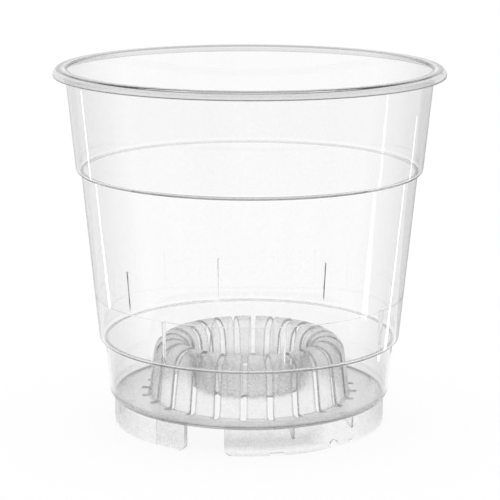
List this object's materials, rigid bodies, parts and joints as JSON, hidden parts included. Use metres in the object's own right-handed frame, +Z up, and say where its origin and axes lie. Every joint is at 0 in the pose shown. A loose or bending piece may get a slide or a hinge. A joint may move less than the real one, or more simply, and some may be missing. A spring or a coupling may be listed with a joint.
{
  "type": "orchid pot",
  "caption": "Clear round orchid pot with stepped, tapered walls, a turned-down rim and a raised slotted ring in its frosted floor for air and drainage, standing on a notched skirt of feet.",
  "frame": {"origin": "Centre of the pot on the level that its feet stand on.", "axes": "+Z is up along the pot's axis. -Y is the front, the side that the picture shows. +X is to the right seen from the front."},
  "size_m": [0.12, 0.12, 0.111],
  "materials": {
    "clear_plastic": "polished clear plastic with faint flow marks",
    "frosted_plastic": "fine frosted, see-through plastic"
  },
  "bodies": {
    "root": {"rim": "clear_plastic", "upper_wall": "clear_plastic", "upper_shoulder": "clear_plastic", "middle_wall": "clear_plastic", "lower_shoulder": "clear_plastic", "lower_wall": "clear_plastic", "stacking_rib_1": "clear_plastic", "stacking_rib_2": "clear_plastic", "stacking_rib_3": "clear_plastic", "stacking_rib_4": "clear_plastic", "stacking_rib_5": "clear_plastic", "stacking_rib_6": "clear_plastic", "stacking_rib_7": "clear_plastic", "stacking_rib_8": "clear_plastic", "floor": "frosted_plastic", "centre_disc": "frosted_plastic", "slot_bar_01": "frosted_plastic", "slot_bar_02": "frosted_plastic", "slot_bar_03": "frosted_plastic", "slot_bar_04": "frosted_plastic", "slot_bar_05": "frosted_plastic", "slot_bar_06": "frosted_plastic", "slot_bar_07": "frosted_plastic", "slot_bar_08": "frosted_plastic", "slot_bar_09": "frosted_plastic", "slot_bar_10": "frosted_plastic", "slot_bar_11": "frosted_plastic", "slot_bar_12": "frosted_plastic", "slot_bar_13": "frosted_plastic", "slot_bar_14": "frosted_plastic", "slot_bar_15": "frosted_plastic", "slot_bar_16": "frosted_plastic", "slot_bar_17": "frosted_plastic", "slot_bar_18": "frosted_plastic", "slot_bar_19": "frosted_plastic", "slot_bar_20": "frosted_plastic", "slot_bar_21": "frosted_plastic", "slot_bar_22": "frosted_plastic", "slot_bar_23": "frosted_plastic", "slot_bar_24": "frosted_plastic", "foot_1": "frosted_plastic", "foot_2": "frosted_plastic", "foot_3": "frosted_plastic", "gusset_1": "frosted_plastic", "gusset_2": "frosted_plastic", "gusset_3": "frosted_plastic", "gusset_4": "frosted_plastic", "gusset_5": "frosted_plastic", "gusset_6": "frosted_plastic"}
  },
  "joints": []
}
